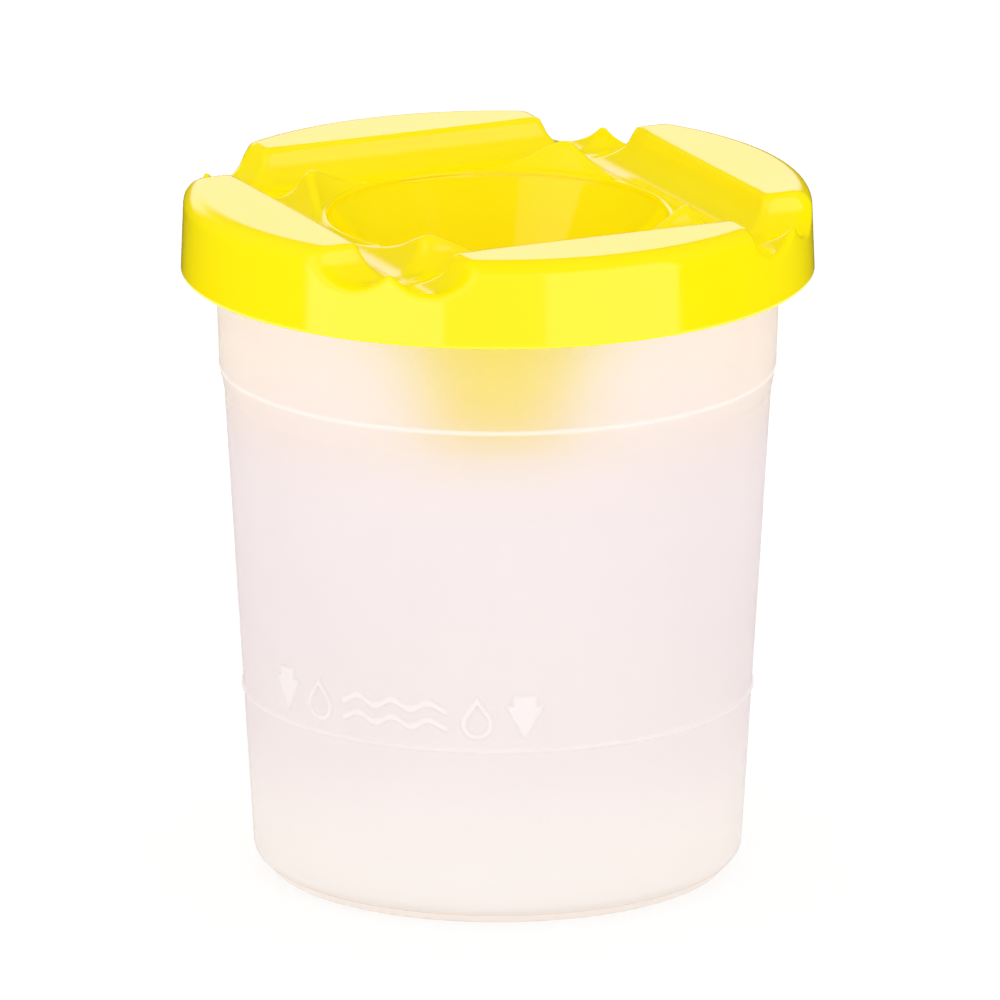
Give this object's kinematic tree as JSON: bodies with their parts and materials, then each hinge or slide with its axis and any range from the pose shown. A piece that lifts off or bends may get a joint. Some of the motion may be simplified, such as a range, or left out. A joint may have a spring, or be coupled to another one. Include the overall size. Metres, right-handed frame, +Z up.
{
  "type": "brush washer with lid",
  "caption": "Non-spill brush washer: a tapered translucent water pot with a push-on lid that has a conical funnel and crossing half-round brush rests.",
  "frame": {"origin": "centre of the foot ring's underside, on the surface that the pot stands on", "axes": "+Z up along the pot's axis; the lid's brush rests run along X and Y"},
  "size_m": [0.086, 0.086, 0.095],
  "materials": {
    "pot_plastic": "natural polypropylene, frosted and translucent, faintly glossy",
    "lid_plastic": "bright yellow polypropylene, moulded glossy"
  },
  "bodies": {
    "pot": {"pot": "pot_plastic"},
    "lid": {"lid": "lid_plastic"}
  },
  "joints": [
    {"name": "lid_lift", "type": "slide", "parent": "pot", "child": "lid", "axis": [0, 0, 1], "range_m": [0, 0.04]}
  ]
}
